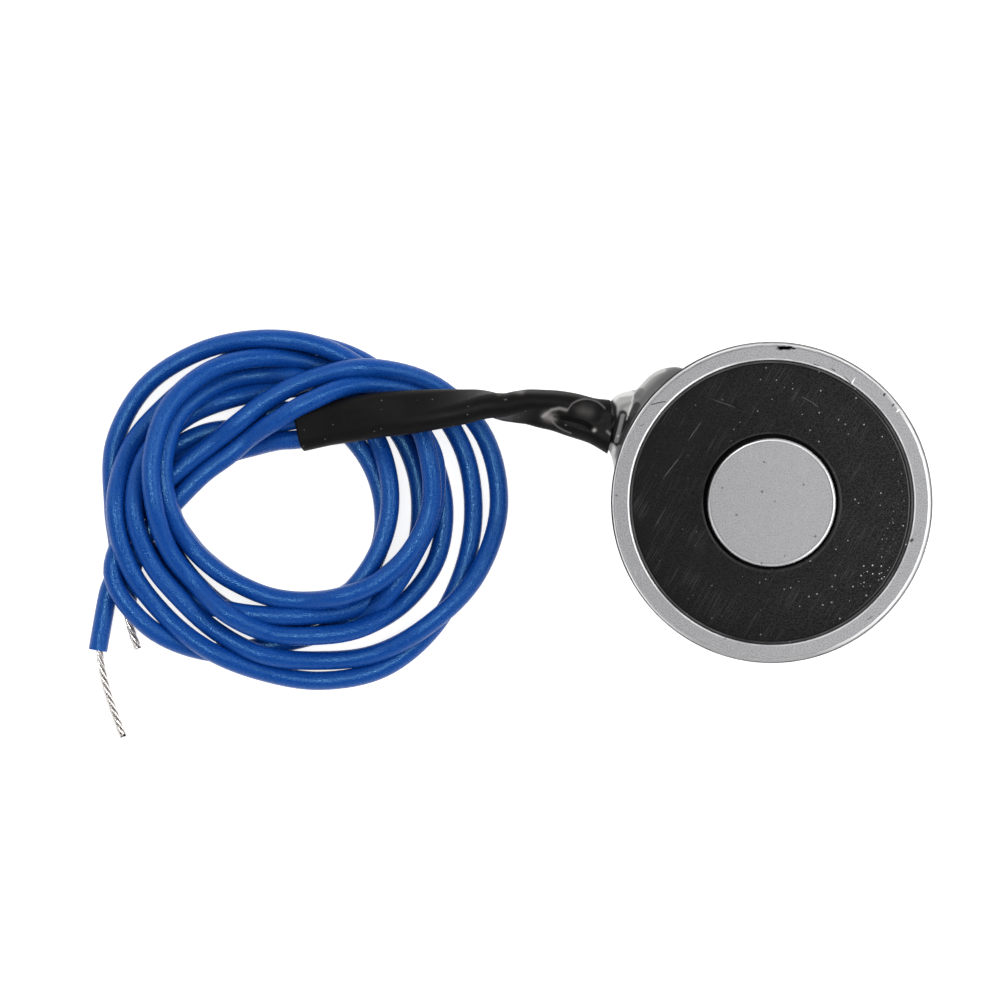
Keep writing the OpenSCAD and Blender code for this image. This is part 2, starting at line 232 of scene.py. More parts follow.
# Painted shadows in the resin's gaps at the ring and the pole, and painted lighter lines at their edges, in
# the same columns
RESIN_EDGE_HIGHLIGHTS_AND_SHADOWS = (
    (17.49, 0.14, 0.12, 0.1, 0.8, None), (17.25, 0.1, 0.0, 0.3, 1.0, None),
    (17.1, 0.08, 0.1, 0.5, 1.0, 0), (8.62, 0.14, 0.06, 0.0, 0.7, None),
)
# Nicks and scratches on the working face, where the black of the nick at the top is painted shade in a
# dent that the mesh does not have: x, y, turn in degrees, half length, half width, and grey, with the
# lengths in millimetres
STEEL_MARKS = (
    (1.55, 19.22, -4, 0.85, 0.26, 0.0), (2.4, 19.2, -7, 0.8, 0.12, 0.0), (-14, 12.4, 12, 1.0, 0.07, 0.06),
    (17.4, -4.7, 50, 0.3, 0.18, 0.06), (9.9, 14.7, 60, 1.0, 0.07, 1.0), (-16.2, 9.6, 20, 0.3, 0.05, 0.1),
    (12.2, -14.4, 35, 0.5, 0.05, 0.1), (5.6, 17.1, -15, 0.45, 0.06, 0.08),
    (7.7, 16.5, -25, 0.35, 0.07, 0.08), (9.5, 15.2, -45, 0.7, 0.06, 0.08),
    (14, 13.4, 45, 0.2, 0.13, 0.03), (15.1, 12.1, 45, 0.25, 0.1, 0.05), (15.7, 11.4, 50, 0.3, 0.1, 1.0),
)
RESIN_MARKS = (
    (-5.9, 12.3, -20, 1.5, 0.06, 0.05), (-4.2, 11.9, -35, 0.8, 0.06, 0.0), (5.2, 12.3, -35, 0.8, 0.1, 0.04),
    (4.2, 12.9, -28, 0.5, 0.06, 0.06), (-9.6, 8.8, 55, 1.3, 0.05, 0.08), (-12.4, 4.4, 52, 1.6, 0.05, 0.08),
)


def length_setting(name, description, default):
    return FloatProperty(name=name, description=description, default=default, unit="LENGTH")


def colour_setting(name, description, default):
    return FloatVectorProperty(name=name, description=description, default=default, subtype="COLOR")


class MagnetLeadSettings(bpy.types.PropertyGroup):
    """Sizes and colours of the two leads and the sleeve on them."""

    diameter: length_setting("Lead diameter", "Outside diameter of each insulated lead", 2.4 * MM)
    strand_diameter: length_setting("Strand diameter", "Diameter of one tinned strand", 0.36 * MM)
    strand_count: IntProperty(
        name="Strands", description="Strands in the outer layer of a stripped end", default=5)
    strand_pitch: length_setting("Strand pitch", "Length of one twist of the strands", 6.5 * MM)
    sleeve_wall: length_setting("Sleeve wall", "Wall of the shrink sleeve", 0.3 * MM)
    insulation: colour_setting("Insulation", "Colour of the insulation", (0.003, 0.05, 0.278))
    sleeve: colour_setting("Sleeve", "Colour of the shrink sleeve", (0.0045, 0.004, 0.004))
    tinned: colour_setting("Tinned wire", "Colour of the bare strands", (0.8, 0.77, 0.74))


class MagnetPotSettings(bpy.types.PropertyGroup):
    """Sizes and colours of the pot and what is cast into it."""

    wall: length_setting("Wall", "Thickness of the outer wall", 2.3 * MM)
    pole_radius: length_setting("Pole radius", "Radius of the centre pole", 8 * MM)
    back: length_setting("Back", "Thickness of the back", 4.5 * MM)
    face_chamfer: length_setting("Face chamfer", "Chamfer on the outer edge of the working face", 0.5 * MM)
    back_chamfer: length_setting("Back chamfer", "Chamfer on the outer edge of the back", 0.4 * MM)
    edge_break: length_setting("Edge break", "Break on the groove edges of the working face", 0.08 * MM)
    resin_drop: length_setting("Resin drop", "How far the resin lies below the working face", 0.15 * MM)
    steel: colour_setting("Steel", "Colour of the plated steel", (0.378, 0.378, 0.389))
    resin: colour_setting("Resin", "Colour of the casting resin", (0.0062, 0.0062, 0.0066))
    adhesive: colour_setting("Adhesive", "Colour of the clear adhesive", (0.72, 0.72, 0.71))


class MagnetStageSettings(bpy.types.PropertyGroup):
    """Camera and floor."""

    camera_height: length_setting("Camera height", "Height of the camera above the floor", 1.2)
    lens: FloatProperty(
        name="Lens", description="Focal length in millimetres for a 36 mm sensor", default=341.4)
    aim: FloatVectorProperty(
        name="Aim", description="Point at the middle of the picture",
        default=(-33.8 * MM, 0.3 * MM, 20 * MM), subtype="XYZ", unit="LENGTH")
    floor: colour_setting("Floor", "Colour of the floor", (0.6, 0.6, 0.6))


# Helpers for the pieces


def deselect_all():
    """Leave edit mode with nothing selected, because the loaded nodes start selected."""
    if bpy.context.object and bpy.context.object.mode == "EDIT":
        bpy.ops.object.mode_set(mode="OBJECT")
    bpy.ops.object.select_all(action="DESELECT")


def activate(obj):
    deselect_all()
    obj.select_set(True)
    bpy.context.view_layer.objects.active = obj


def apply_modifier(obj, kind, **values):
    """Add one modifier, set it up and apply it."""
    activate(obj)
    modifier = obj.modifiers.new(kind.title(), kind)
    for key, value in values.items():
        setattr(modifier, key, value)
    bpy.ops.object.modifier_apply(modifier=modifier.name)


def dress(obj, name, material, slot, *nodes):
    """Name a piece, give it its finish, and let it stand for CAD nodes."""
    obj.name = name
    obj.data.name = name
    obj.data.materials.clear()
    obj.data.materials.append(material)
    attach(obj, "root")
    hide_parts(*nodes)
    return obj


def spun(profile, steps):
    """Turn a closed profile of (radius, height) points round the vertical axis."""
    deselect_all()
    bpy.ops.mesh.primitive_plane_add(size=MM, location=(profile[0][0], 0, profile[0][1]))
    bpy.ops.object.transform_apply(location=True, rotation=False, scale=False)
    bpy.ops.object.mode_set(mode="EDIT")
    bpy.ops.mesh.merge(type="CENTER")
    for (r0, z0), (r1, z1) in zip(profile, profile[1:] + profile[:1]):
        bpy.ops.mesh.extrude_region_move(TRANSFORM_OT_translate={"value": (r1 - r0, 0, z1 - z0)})
    bpy.ops.mesh.select_all(action="SELECT")
    bpy.ops.mesh.remove_doubles(threshold=1e-6)
    bpy.ops.mesh.spin(steps=steps, angle=math.tau, center=(0, 0, 0), axis=(0, 0, 1))
    bpy.ops.mesh.select_all(action="SELECT")
    bpy.ops.mesh.remove_doubles(threshold=1e-6)
    bpy.ops.mesh.normals_make_consistent(inside=False)
    bpy.ops.object.mode_set(mode="OBJECT")
    return bpy.context.object


def cut(obj, cutter):
    """Take one solid out of another and remove the cutter."""
    apply_modifier(obj, "BOOLEAN", operation="DIFFERENCE", object=cutter, solver="EXACT")
    bpy.data.objects.remove(cutter)


def smooth_by_angle(obj, degrees):
    activate(obj)
    bpy.ops.object.shade_smooth_by_angle(angle=math.radians(degrees))


def skinned(name, rings):
    """A closed tube through rings of equal count whose first ring joins the last."""
    count = len(rings[0])
    faces = []
    for i in range(len(rings)):
        here, there = i * count, (i + 1) % len(rings) * count
        faces += [(here + k, here + (k + 1) % count, there + (k + 1) % count, there + k)
                  for k in range(count)]
    mesh = bpy.data.meshes.new(name)
    mesh.from_pydata([p for ring in rings for p in ring], [], faces)
    obj = bpy.data.objects.new(name, mesh)
    bpy.context.scene.collection.objects.link(obj)
    activate(obj)
    bpy.ops.object.mode_set(mode="EDIT")
    bpy.ops.mesh.select_all(action="SELECT")
    bpy.ops.mesh.normals_make_consistent(inside=False)
    bpy.ops.object.mode_set(mode="OBJECT")
    bpy.ops.object.shade_smooth()
    return obj


def curve_through(values, at):
    """Smooth value between given ones, where at runs from 0 to len(values) - 1."""
    last = len(values) - 1
    i = min(int(at), last - 1)
    f = at - i
    p0, p1, p2, p3 = (values[min(max(k, 0), last)] for k in (i - 1, i, i + 1, i + 2))
    return 0.5 * (2 * p1 + (p2 - p0) * f + (2 * p0 - 5 * p1 + 4 * p2 - p3) * f ** 2
                  + (3 * p1 - p0 - 3 * p2 + p3) * f ** 3)


def drawn_fine(points, steps):
    """The same line with more points, smooth through the given ones."""
    columns = list(zip(*points))
    count = steps * (len(points) - 1)
    return [Vector([curve_through(column, i / steps) for column in columns])
            for i in range(count + 1)]


def tube_curve(name, lines, diameter, sides):
    """A curve object with one round line for each list of points."""
    curve = bpy.data.curves.new(name, "CURVE")
    curve.dimensions = "3D"
    curve.bevel_depth = diameter / 2
    curve.bevel_resolution = sides
    curve.use_fill_caps = True
    for points in lines:
        spline = curve.splines.new("POLY")
        spline.points.add(len(points) - 1)
        for made, point in zip(spline.points, points):
            made.co = (*point, 1)
        spline.use_smooth = True
    obj = bpy.data.objects.new(name, curve)
    bpy.context.scene.collection.objects.link(obj)
    return obj


def distance_to_line(place, line):
    """Distance in the plan from a place to a line of points, in their unit."""
    nearest = math.inf
    for (ax, ay), (bx, by) in zip(line, line[1:]):
        dx, dy = bx - ax, by - ay
        along = ((place[0] - ax) * dx + (place[1] - ay) * dy) / (dx * dx + dy * dy)
        along = min(max(along, 0), 1)
        nearest = min(nearest, math.hypot(place[0] - ax - along * dx, place[1] - ay - along * dy))
    return nearest


def stroked(strokes, place):
    """Sum of soft drawn strokes at a place given in millimetres."""
    return sum(amount * math.exp(-(distance_to_line(place, line) / width) ** 2)
               for amount, width, line in strokes)


def paint(obj, name, value_at):
    """Store a number on each vertex, worked out from its place and normal, for the finish."""
    values = [value_at(vertex.co, vertex.normal) for vertex in obj.data.vertices]
    obj.data.attributes.new(name, "FLOAT", "POINT").data.foreach_set("value", values)


def soft_step(low, high, value):
    f = min(max((value - low) / (high - low), 0), 1)
    return f * f * (3 - 2 * f)


# Routes


def sleeve_frame(at):
    """Centre, heading, long axis, short axis and section scale at a place along the sleeve."""
    last = len(SLEEVE_ROUTE) - 1
    columns = list(zip(*SLEEVE_ROUTE))

    def value(column, place):
        return curve_through(columns[column], min(max(place, 0), last))

    def centre(place):
        return Vector([value(k, place) for k in range(3)]) * MM

    heading = (centre(min(at + 0.1, last)) - centre(max(at - 0.1, 0))).normalized()
    level = Vector((0, 0, 1)).cross(heading).normalized()
    twist = math.radians(value(3, at))
    long_axis = level * math.cos(twist) + heading.cross(level) * math.sin(twist)
    return centre(at), heading, long_axis, heading.cross(long_axis), value(4, at)


def on_coil(angle, distance, height):
    a = math.radians(angle)
    return (COIL_CENTRE + Vector((distance * math.cos(a), distance * math.sin(a), height))) * MM


def lead_route(hand, offset, turns, end):
    """Points of one lead from the exit hole through the sleeve and the coil to its free end."""
    out = Vector((math.cos(EXIT_ANGLE), math.sin(EXIT_ANGLE), 0))
    side = Vector((-out.y, out.x, 0)) * hand * offset
    points = [out * r * MM + side + Vector((0, 0, EXIT_Z)) for r in LEAD_STARTS]
    for at in range(1, len(SLEEVE_ROUTE), 2):
        centre, _, long_axis, _, _ = sleeve_frame(at)
        points.append(centre + long_axis * hand * offset)
    for distances, heights in turns:
        points += [on_coil(FIRST_STATION + STATION_STEP * i, d, h)
                   for i, (d, h) in enumerate(zip(distances, heights))]
    points += [on_coil(*station) for station in end]
    fine = drawn_fine(points, LEAD_STEPS)
    for point in fine:
        point.z = max(point.z, offset)
    return fine


def length_of(points):
    return sum((b - a).length for a, b in zip(points, points[1:]))


# Finishes


def add_node(tree, kind, inputs=None, **values):
    """One node with its settings; inputs are sockets to link from, or plain values."""
    made = tree.nodes.new(kind)
    for key, value in values.items():
        setattr(made, key, value)
    for key, value in (inputs or {}).items():
        if isinstance(value, bpy.types.NodeSocket):
            tree.links.new(value, made.inputs[key])
        else:
            made.inputs[key].default_value = value
    return made


def calc(tree, operation, *values, **settings):
    """Result of one Math node."""
    made = add_node(tree, "ShaderNodeMath", dict(enumerate(values)), operation=operation, **settings)
    return made.outputs[0]


def calc_vector(tree, operation, *values):
    """Result of one Vector Math node, a number or a vector as its operation gives."""
    made = add_node(tree, "ShaderNodeVectorMath", dict(enumerate(values)), operation=operation)
    return made.outputs["Value" if operation in ("LENGTH", "DOT_PRODUCT") else "Vector"]


def between(tree, value, low, high, start=0.0, end=1.0, **settings):
    """Value carried from the range of start to end onto the range of low to high."""
    ranges = {"Value": value, "From Min": start, "From Max": end, "To Min": low, "To Max": high}
    return add_node(tree, "ShaderNodeMapRange", ranges, **settings).outputs["Result"]


def noise(tree, vector, **inputs):
    return add_node(tree, "ShaderNodeTexNoise", {"Vector": vector, **inputs}).outputs["Fac"]


def parts_of(tree, vector):
    return add_node(tree, "ShaderNodeSeparateXYZ", {"Vector": vector}).outputs


def flattened(tree, vector):
    return calc_vector(tree, "MULTIPLY", vector, (1, 1, 0))


def on_face(tree, parts):
    """1 at the height of the working face, 0 below it."""
    return calc(tree, "GREATER_THAN", parts["Z"], POT_H - FACE_BAND)


def new_group(name, output, **inputs):
    """A shader node group that reads a vector and the named inputs, with their defaults."""
    group = bpy.data.node_groups.new(name, "ShaderNodeTree")
    group.interface.new_socket("Vector", in_out="INPUT", socket_type="NodeSocketVector")
    for label, default in inputs.items():
        kind = "NodeSocketVector" if isinstance(default, tuple) else "NodeSocketFloat"
        group.interface.new_socket(label, in_out="INPUT", socket_type=kind).default_value = default
    group.interface.new_socket(output, in_out="OUTPUT", socket_type="NodeSocketFloat")
    return group, group.nodes.new("NodeGroupInput").outputs


def give(group, value):
    """Put a value out of a group."""
    group.links.new(value, group.nodes.new("NodeGroupOutput").inputs[0])


def grain_group():
    """Fine speckle between 0 and 1."""
    group, given = new_group("Fine grain", "Value", Scale=3000.0, Detail=3.0, Contrast=1.0)
    speckle = noise(group, given["Vector"], Scale=given["Scale"], Detail=given["Detail"], Roughness=0.65)
    centred = calc(group, "SUBTRACT", speckle, 0.5)
    give(group, calc(group, "MULTIPLY_ADD", centred, given["Contrast"], 0.5, use_clamp=True))


def scratch_group():
    """Mask of fine straight scratches that run along the vector's Y axis, in patches."""
    group, given = new_group("Scratches", "Mask", Scale=6000.0, Stretch=0.02, Threshold=0.62)
    parts = parts_of(group, given["Vector"])
    along = calc(group, "MULTIPLY", parts["Y"], given["Stretch"])
    drawn = add_node(group, "ShaderNodeCombineXYZ", {"X": parts["X"], "Y": along}).outputs[0]
    lines = noise(group, drawn, Scale=given["Scale"], Detail=0.0)
    patches = calc(group, "SUBTRACT", noise(group, given["Vector"], Scale=260.0, Detail=1.0), 0.5)
    both = calc(group, "MULTIPLY_ADD", patches, 0.55, lines)
    top = calc(group, "ADD", given["Threshold"], 0.12)
    give(group, between(group, both, 0.0, 1.0, given["Threshold"], top))


def dust_group():
    """Mask of scattered small specks."""
    group, given = new_group("Dust specks", "Mask", Scale=700.0, Size=0.12, Amount=0.1)
    cells = add_node(group, "ShaderNodeTexVoronoi",
                     {"Vector": given["Vector"], "Scale": given["Scale"]}).outputs
    lot = add_node(group, "ShaderNodeSeparateColor", {"Color": cells["Color"]}).outputs["Red"]
    near = calc(group, "LESS_THAN", cells["Distance"], given["Size"])
    picked = calc(group, "LESS_THAN", lot, given["Amount"])
    give(group, calc(group, "MULTIPLY", near, picked))


def mark_group():
    """Mask of one straight mark on the working face: centre, turn, half length and half width."""
    group, given = new_group("Mark", "Mask", Centre=(0, 0, 0), Turn=0.0, Length=1 * MM, Width=0.1 * MM)
    waver = calc(group, "SUBTRACT", noise(group, given["Vector"], Scale=1500.0), 0.5)
    moved = calc_vector(group, "SUBTRACT", given["Vector"], given["Centre"])
    turned = add_node(group, "ShaderNodeVectorRotate", {"Vector": moved, "Angle": given["Turn"]},
                      rotation_type="Z_AXIS").outputs[0]
    parts = parts_of(group, turned)
    mask = on_face(group, parts)
    for axis, size in (("X", "Length"), ("Y", "Width")):
        share = calc(group, "DIVIDE", parts[axis], given[size])
        away = calc(group, "ABSOLUTE", calc(group, "MULTIPLY_ADD", waver, 1.5, share))
        mask = calc(group, "MULTIPLY", mask, between(group, away, 1.0, 0.0, 0.6, 1.2))
    give(group, mask)


def ring_group():
    """Mask of a ring round the vertical axis, on the working face, with a slightly uneven line."""
    group, given = new_group("Ring line", "Mask", Radius=20 * MM, Width=0.1 * MM)
    reach = calc_vector(group, "LENGTH", flattened(group, given["Vector"]))
    uneven = calc(group, "MULTIPLY_ADD", noise(group, given["Vector"], Scale=700.0), 0.1 * MM, reach)
    off = calc(group, "SUBTRACT", calc(group, "SUBTRACT", uneven, given["Radius"]), 0.05 * MM)
    share = calc(group, "DIVIDE", calc(group, "ABSOLUTE", off), given["Width"])
    line = between(group, share, 1.0, 0.0, 0.6, 1.1)
    give(group, calc(group, "MULTIPLY", line, on_face(group, parts_of(group, given["Vector"]))))


def side_group():
    """Mask of the side of the pot that lies in a direction, fading out to both hands."""
    group, given = new_group("Side", "Mask", Direction=(1, 0, 0))
    unit = calc_vector(group, "NORMALIZE", flattened(group, given["Vector"]))
    facing = calc_vector(group, "DOT_PRODUCT", unit, given["Direction"])
    give(group, between(group, facing, 0.0, 1.0, 0.5, 0.85))


def build_groups():
    for make in (grain_group, scratch_group, dust_group, mark_group, ring_group, side_group):
        make()


def place_group(tree, name, vector, **inputs):
    made = add_node(tree, "ShaderNodeGroup", node_tree=bpy.data.node_groups[name])
    tree.links.new(vector, made.inputs["Vector"])
    for key, value in inputs.items():
        made.inputs[key].default_value = value
    return made.outputs[0]


def new_finish(name, **sockets):
    """A material with its Principled shader and an Object coordinate."""
    material = bpy.data.materials.new(name)
    material.use_nodes = True
    tree = material.node_tree
    shader = tree.nodes["Principled BSDF"]
    for key, value in sockets.items():
        shader.inputs[key.replace("_", " ")].default_value = value
    place = add_node(tree, "ShaderNodeTexCoord").outputs["Object"]
    return material, tree, shader, place


def feed(tree, shader, base, roughness):
    tree.links.new(base, shader.inputs["Base Color"])
    tree.links.new(roughness, shader.inputs["Roughness"])


def tint(tree, factor, low, high):
    """Colour between two colours by a factor."""
    mix = add_node(tree, "ShaderNodeMix", data_type="RGBA")
    tree.links.new(factor, mix.inputs["Factor"])
    for key, colour in (("A", low), ("B", high)):
        socket = [s for s in mix.inputs if s.name == key and s.type == "RGBA"][0]
        if isinstance(colour, bpy.types.NodeSocket):
            tree.links.new(colour, socket)
        else:
            socket.default_value = (*colour, 1)
    return [s for s in mix.outputs if s.type == "RGBA"][0]


def scaled(colour, factor):
    return tuple(min(1, c * factor) for c in colour)


def varied(tree, factor, colour, low, high):
    """Colour between a darker and a lighter form of itself."""
    return tint(tree, factor, scaled(colour, low), scaled(colour, high))


def raise_by(tree, shader, height, strength, distance):
    bump = add_node(tree, "ShaderNodeBump", {"Height": height, "Strength": strength, "Distance": distance})
    tree.links.new(bump.outputs["Normal"], shader.inputs["Normal"])


def attribute(tree, name):
    return add_node(tree, "ShaderNodeAttribute", attribute_name=name).outputs["Fac"]


def seen_rays(tree):
    """1 for rays that show the background: from the camera, off metal and through glass."""
    ray = add_node(tree, "ShaderNodeLightPath").outputs
    seen = calc(tree, "MAXIMUM", ray["Is Camera Ray"], ray["Is Glossy Ray"])
    return calc(tree, "MAXIMUM", seen, ray["Is Transmission Ray"])


def marked(tree, place, base, marks):
    """Lay marks over a colour, from rows as in STEEL_MARKS."""
    for x, y, turn, length, width, grey in marks:
        mask = place_group(tree, "Mark", place, Centre=(x * MM, y * MM, 0), Turn=-math.radians(turn),
                           Length=length * MM, Width=width * MM)
        base = tint(tree, mask, base, (grey, grey, grey))
    return base


def painted_edge_rings(tree, place, base, rings):
    """Lay painted highlights and painted shadows in uneven rings along edges over a colour, from rows as in
    the edge tables.
    """
    patches = place_group(tree, "Fine grain", place, Scale=130.0, Contrast=2.5)
    for radius, width, grey, least, most, side in rings:
        mask = place_group(tree, "Ring line", place, Radius=radius * MM, Width=width * MM)
        if side is not None:
            a = math.radians(side)
            here = place_group(tree, "Side", place, Direction=(math.cos(a), math.sin(a), 0))
            mask = calc(tree, "MULTIPLY", mask, here)
        strength = calc(tree, "MULTIPLY", mask, between(tree, patches, least, most))
        base = tint(tree, strength, base, (grey, grey, grey))
    return base


def insulation_finish(colour):
    material, tree, shader, place = new_finish(
        "Blue insulation", Specular_IOR_Level=0.5, Specular_Tint=(0.3, 0.72, 1, 1))
    grain = place_group(tree, "Fine grain", place, Scale=4200.0, Contrast=2.6)
    skin = place_group(tree, "Fine grain", place, Scale=5600.0, Detail=0.6, Contrast=1.6)
    feed(tree, shader, varied(tree, grain, colour, 0.87, 1.16), between(tree, grain, 0.22, 0.36))
    raise_by(tree, shader, skin, 1.0, 0.035 * MM)
    return material


def sleeve_finish(colour):
    material, tree, shader, place = new_finish("Black shrink sleeve", Specular_IOR_Level=0.1)
    worn_and_sheen_colour, dust_colour = (0.42, 0.40, 0.39), (0.11, 0.1, 0.09)
    grain = place_group(tree, "Fine grain", place, Scale=2600.0, Contrast=2.0)
    dust = place_group(tree, "Dust specks", place, Scale=1100.0, Size=0.1, Amount=0.25)
    base = varied(tree, grain, colour, 0.75, 1.3)
    # Worn places, and painted highlights, sheen and a glint, over the base colour
    base = tint(tree, attribute(tree, "wear_and_sheen"), base, worn_and_sheen_colour)
    base = tint(tree, dust, base, dust_colour)
    feed(tree, shader, base, between(tree, grain, 0.42, 0.6))
    raise_by(tree, shader, grain, 0.3, 0.02 * MM)
    return material


def tinned_finish(colour):
    material, tree, shader, place = new_finish("Tinned strands", Metallic=1.0)
    groove_shade_colour = (0.075, 0.06, 0.05)
    grain = place_group(tree, "Fine grain", place, Scale=2500.0, Contrast=1.5)
    # Painted shade in the grooves between the strands, near the core, with their own colour on the crests
    base = tint(tree, attribute(tree, "lit_crest"), groove_shade_colour, varied(tree, grain, colour, 0.8, 1.1))
    feed(tree, shader, base, between(tree, grain, 0.2, 0.34))
    return material


def steel_finish(colour):
    """Plated steel, grained and marked on the working face and turned on the wall, with painted shade that
    makes it darker to the left, painted highlights and shadows along the edges of the face and painted
    shade in a nick.
    """
    material, tree, shader, place = new_finish("Plated steel", Metallic=1.0)
    dot_colour, smooth = (0.08, 0.08, 0.08), 0.4
    grain = place_group(tree, "Fine grain", place, Scale=5500.0, Detail=1.0, Contrast=4.0)
    mottle = place_group(tree, "Fine grain", place, Scale=900.0, Contrast=1.6)
    scratches = place_group(tree, "Scratches", place, Scale=7000.0, Stretch=0.06, Threshold=0.78)
    dots = place_group(tree, "Dust specks", place, Scale=620.0, Size=0.095, Amount=0.5)
    parts = parts_of(tree, place)
    wall = calc(tree, "SUBTRACT", 1.0, on_face(tree, parts))
    turning = add_node(tree, "ShaderNodeTexNoise", {"W": parts["Z"], "Scale": 3600.0, "Detail": 2.0},
                       noise_dimensions="1D").outputs["Fac"]
    turning = calc(tree, "MULTIPLY", turning, wall)
    # Painted shade: the steel darker to the left and lighter to the right
    painted_side_light = between(tree, parts["X"], 0.0, 1.0, -POT_R, 0.2 * POT_R)
    base = varied(tree, painted_side_light, colour, 0.84, 1.0)
    dark = between(tree, grain, between(tree, wall, 0.42, 0.16), 0.0, end=0.5)
    light = between(tree, grain, 0.0, between(tree, wall, 0.3, 0.12), start=0.5)
    base = tint(tree, dark, base, scaled(colour, 0.2))
    base = tint(tree, light, base, scaled(colour, 1.5))
    for mask, strength, over in (
            (mottle, 0.14, scaled(colour, 0.3)), (scratches, 0.4, scaled(colour, 1.4)),
            (dots, 0.75, dot_colour), (turning, 0.5, scaled(colour, 0.6))):
        base = tint(tree, between(tree, mask, 0.0, strength), base, over)
    # Painted highlights and painted shadows in rings along the edges, then the marks, with painted shade in
    # the nick
    base = painted_edge_rings(tree, place, base, STEEL_EDGE_HIGHLIGHTS_AND_SHADOWS)
    base = marked(tree, place, base, STEEL_MARKS)
    lip = place_group(tree, "Ring line", place, Radius=19.75 * MM, Width=0.3 * MM)
    roughness = between(tree, lip, between(tree, grain, 0.6, 0.74), smooth)
    feed(tree, shader, base, between(tree, wall, roughness, smooth))
    raise_by(tree, shader, grain, 0.25, 0.012 * MM)
    return material


def resin_finish(colour):
    """Black resin with slanted scratches, with painted light that makes it paler to the right, dustier to
    the right, and painted light and shade in rings at its edges.
    """
    material, tree, shader, place = new_finish("Black casting resin", Specular_IOR_Level=0.12)
    scratch_colour, dust_colour, crumb_colour = (0.07, 0.07, 0.072), (0.5, 0.5, 0.5), (0.6, 0.6, 0.6)
    turned = add_node(tree, "ShaderNodeMapping",
                      {"Vector": place, "Rotation": (0, 0, math.radians(30))}).outputs[0]
    grain = place_group(tree, "Fine grain", place, Scale=5500.0, Detail=1.0, Contrast=3.5)
    scratches = place_group(tree, "Scratches", turned, Scale=9000.0, Stretch=0.02, Threshold=0.66)
    dust = place_group(tree, "Dust specks", place, Scale=900.0, Size=0.085, Amount=0.8)
    crumbs = place_group(tree, "Dust specks", place, Scale=2800.0, Size=0.22, Amount=0.4)
    patch = place_group(tree, "Mark", place, Centre=(12.8 * MM, -8.8 * MM, 0), Turn=-0.6,
                        Length=2.0 * MM, Width=1.6 * MM)
    edge = place_group(tree, "Mark", place, Centre=(15.4 * MM, -1.5 * MM, 0), Turn=-1.35,
                       Length=5.5 * MM, Width=1.0 * MM)
    crumbs = calc(tree, "MULTIPLY", crumbs, calc(tree, "MULTIPLY_ADD", edge, 0.22, patch))
    # Painted light: the resin paler to the right, where its dust lies thicker too
    painted_side_light = between(tree, parts_of(tree, place)["X"], 0.0, 1.0, -0.8 * POT_R, 0.8 * POT_R)
    base = tint(tree, grain, (0, 0, 0), varied(tree, painted_side_light, colour, 0.9, 3.8))
    base = tint(tree, between(tree, scratches, 0.0, 0.18), base, scratch_colour)
    # Painted shadows and lighter lines in rings along the resin's edges
    base = painted_edge_rings(tree, place, base, RESIN_EDGE_HIGHLIGHTS_AND_SHADOWS)
    dust = calc(tree, "MULTIPLY", dust, painted_side_light)
    base = tint(tree, between(tree, dust, 0.0, 0.75), base, dust_colour)
    base = tint(tree, crumbs, base, crumb_colour)
    base = marked(tree, place, base, RESIN_MARKS)
    feed(tree, shader, base, between(tree, scratches, 0.62, 0.45))
    raise_by(tree, shader, grain, 0.15, 0.02 * MM)
    return material


def adhesive_finish(colour):
    material, tree, shader, place = new_finish("Clear adhesive", IOR=1.45, Specular_IOR_Level=0.22)
    # The dark colour is painted shade; the stored shade paints light and shade between it and the pale
    # colour
    dark = (0.012, 0.012, 0.013)
    cloud = place_group(tree, "Fine grain", place, Scale=700.0, Contrast=1.2)
    pale = tint(tree, between(tree, cloud, 0.0, 0.3), colour, scaled(colour, 0.8))
    base = tint(tree, attribute(tree, "shade"), dark, pale)
    feed(tree, shader, base, between(tree, cloud, 0.3, 0.48))
    return material


def inner_finish(name, colour, metallic, roughness):
    """Finish of a piece inside the pot, which shows only where the model is taken apart."""
    material, tree, shader, place = new_finish(name, Metallic=metallic)
    grain = place_group(tree, "Fine grain", place, Scale=1500.0, Contrast=1.5)
    feed(tree, shader, varied(tree, grain, colour, 0.85, 1.15),
         between(tree, grain, roughness - 0.08, roughness + 0.08))
    return material


# Operators


